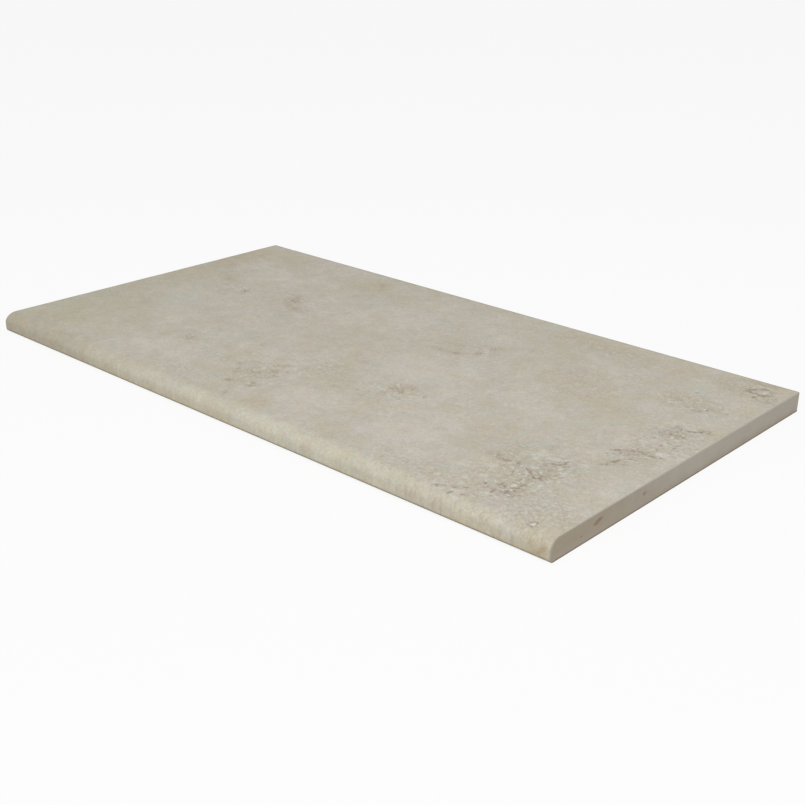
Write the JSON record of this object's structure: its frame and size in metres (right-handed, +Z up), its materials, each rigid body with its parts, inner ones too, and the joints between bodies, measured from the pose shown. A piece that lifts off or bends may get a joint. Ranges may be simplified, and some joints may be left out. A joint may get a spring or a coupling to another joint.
{
  "type": "porcelain pool coping",
  "caption": "Flat rectangular porcelain coping slab with a bullnose along one long edge and a keyed underside.",
  "frame": {"origin": "middle of the bed face, on the plane that the slab lies on", "axes": "+X along the slab's long side, +Y from the bullnose to the square back edge, +Z up out of the walking face"},
  "size_m": [0.6096, 0.3302, 0.017],
  "materials": {
    "porcelain": "matte, travertine-look print on the face and nose, plain fired body on the cut edges and bed"
  },
  "bodies": {
    "root": {"coping_slab": "porcelain"}
  },
  "joints": []
}
